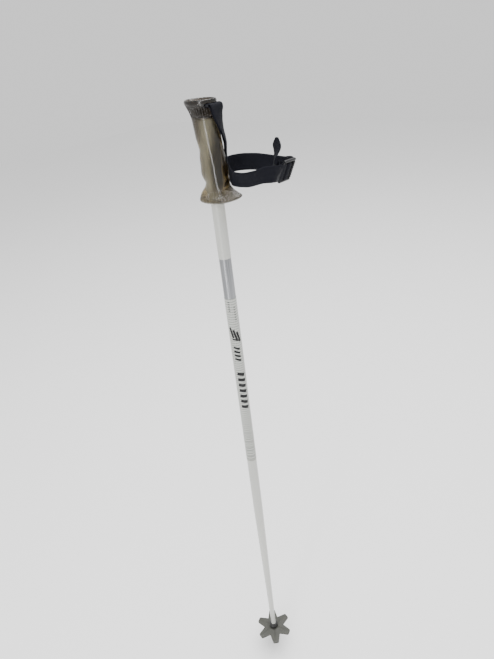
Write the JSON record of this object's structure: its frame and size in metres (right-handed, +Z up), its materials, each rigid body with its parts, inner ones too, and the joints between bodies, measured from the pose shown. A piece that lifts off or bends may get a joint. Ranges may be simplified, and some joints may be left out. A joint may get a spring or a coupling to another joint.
{
  "type": "ski pole",
  "caption": "Alpine ski pole: tapered tube, translucent moulded grip with mushroom cap, adjustable webbing hand strap with ladder-lock buckle, star basket and steel tip.",
  "frame": {"origin": "centre of the steel tip's lower end", "axes": "+Z up along the shaft to the grip, +X towards the back of the grip where the strap leaves it"},
  "size_m": [0.1267, 0.1117, 1.2],
  "materials": {
    "bare_aluminium": "satin anodised tube",
    "white_film": "gloss white printed film",
    "smoke_grip": "glossy translucent smoke-brown moulding",
    "black_webbing": "woven nylon webbing",
    "black_thread": "polyester thread",
    "black_plastic": "moulded acetal",
    "basket_grey": "matt flexible moulding",
    "ferrule_black": "moulded nylon",
    "tip_steel": "hardened steel",
    "plug_white": "natural polyethylene"
  },
  "bodies": {
    "pole": {"tip_spike": "tip_steel", "tip_ferrule": "ferrule_black", "ferrule_plug": "plug_white", "basket_ring": "ferrule_black", "shaft_tube": "bare_aluminium", "graphic_film": "white_film", "upper_film": "white_film", "shaft_top_plug": "plug_white", "grip_body": "smoke_grip", "strap_anchor_pin": "tip_steel", "strap_root": "black_webbing", "strap_wedge": "black_plastic"},
    "basket": {"basket_collar": "ferrule_black", "basket_star": "basket_grey"},
    "strap": {"strap_far_band": "black_webbing", "strap_near_band": "black_webbing", "strap_bar_fold": "black_webbing", "strap_bar_tack": "black_thread"},
    "buckle": {"buckle_frame": "black_plastic", "strap_threaded": "black_webbing"},
    "tail": {"strap_tail": "black_webbing"}
  },
  "joints": [
    {"name": "basket_turn", "type": "hinge", "parent": "pole", "child": "basket", "pos_m": [0, 0, 0.067], "axis": [0, 0, 1], "continuous": true},
    {"name": "strap_swing", "type": "hinge", "parent": "pole", "child": "strap", "pos_m": [0.0178, 0, 1.1925], "axis": [0, -1, 0], "range_deg": [0, 80]},
    {"name": "buckle_tilt", "type": "hinge", "parent": "strap", "child": "buckle", "pos_m": [0.08056, 0.03652, 1.10865], "axis": [-0.3737, -0.0698, -0.9249], "range_deg": [0, 22]},
    {"name": "tail_flap", "type": "hinge", "parent": "buckle", "child": "tail", "pos_m": [0.07458, 0.03842, 1.11092], "axis": [0.3737, 0.0698, 0.9249], "range_deg": [-15, 0], "stiffness_Nm_per_rad": 0.003}
  ]
}
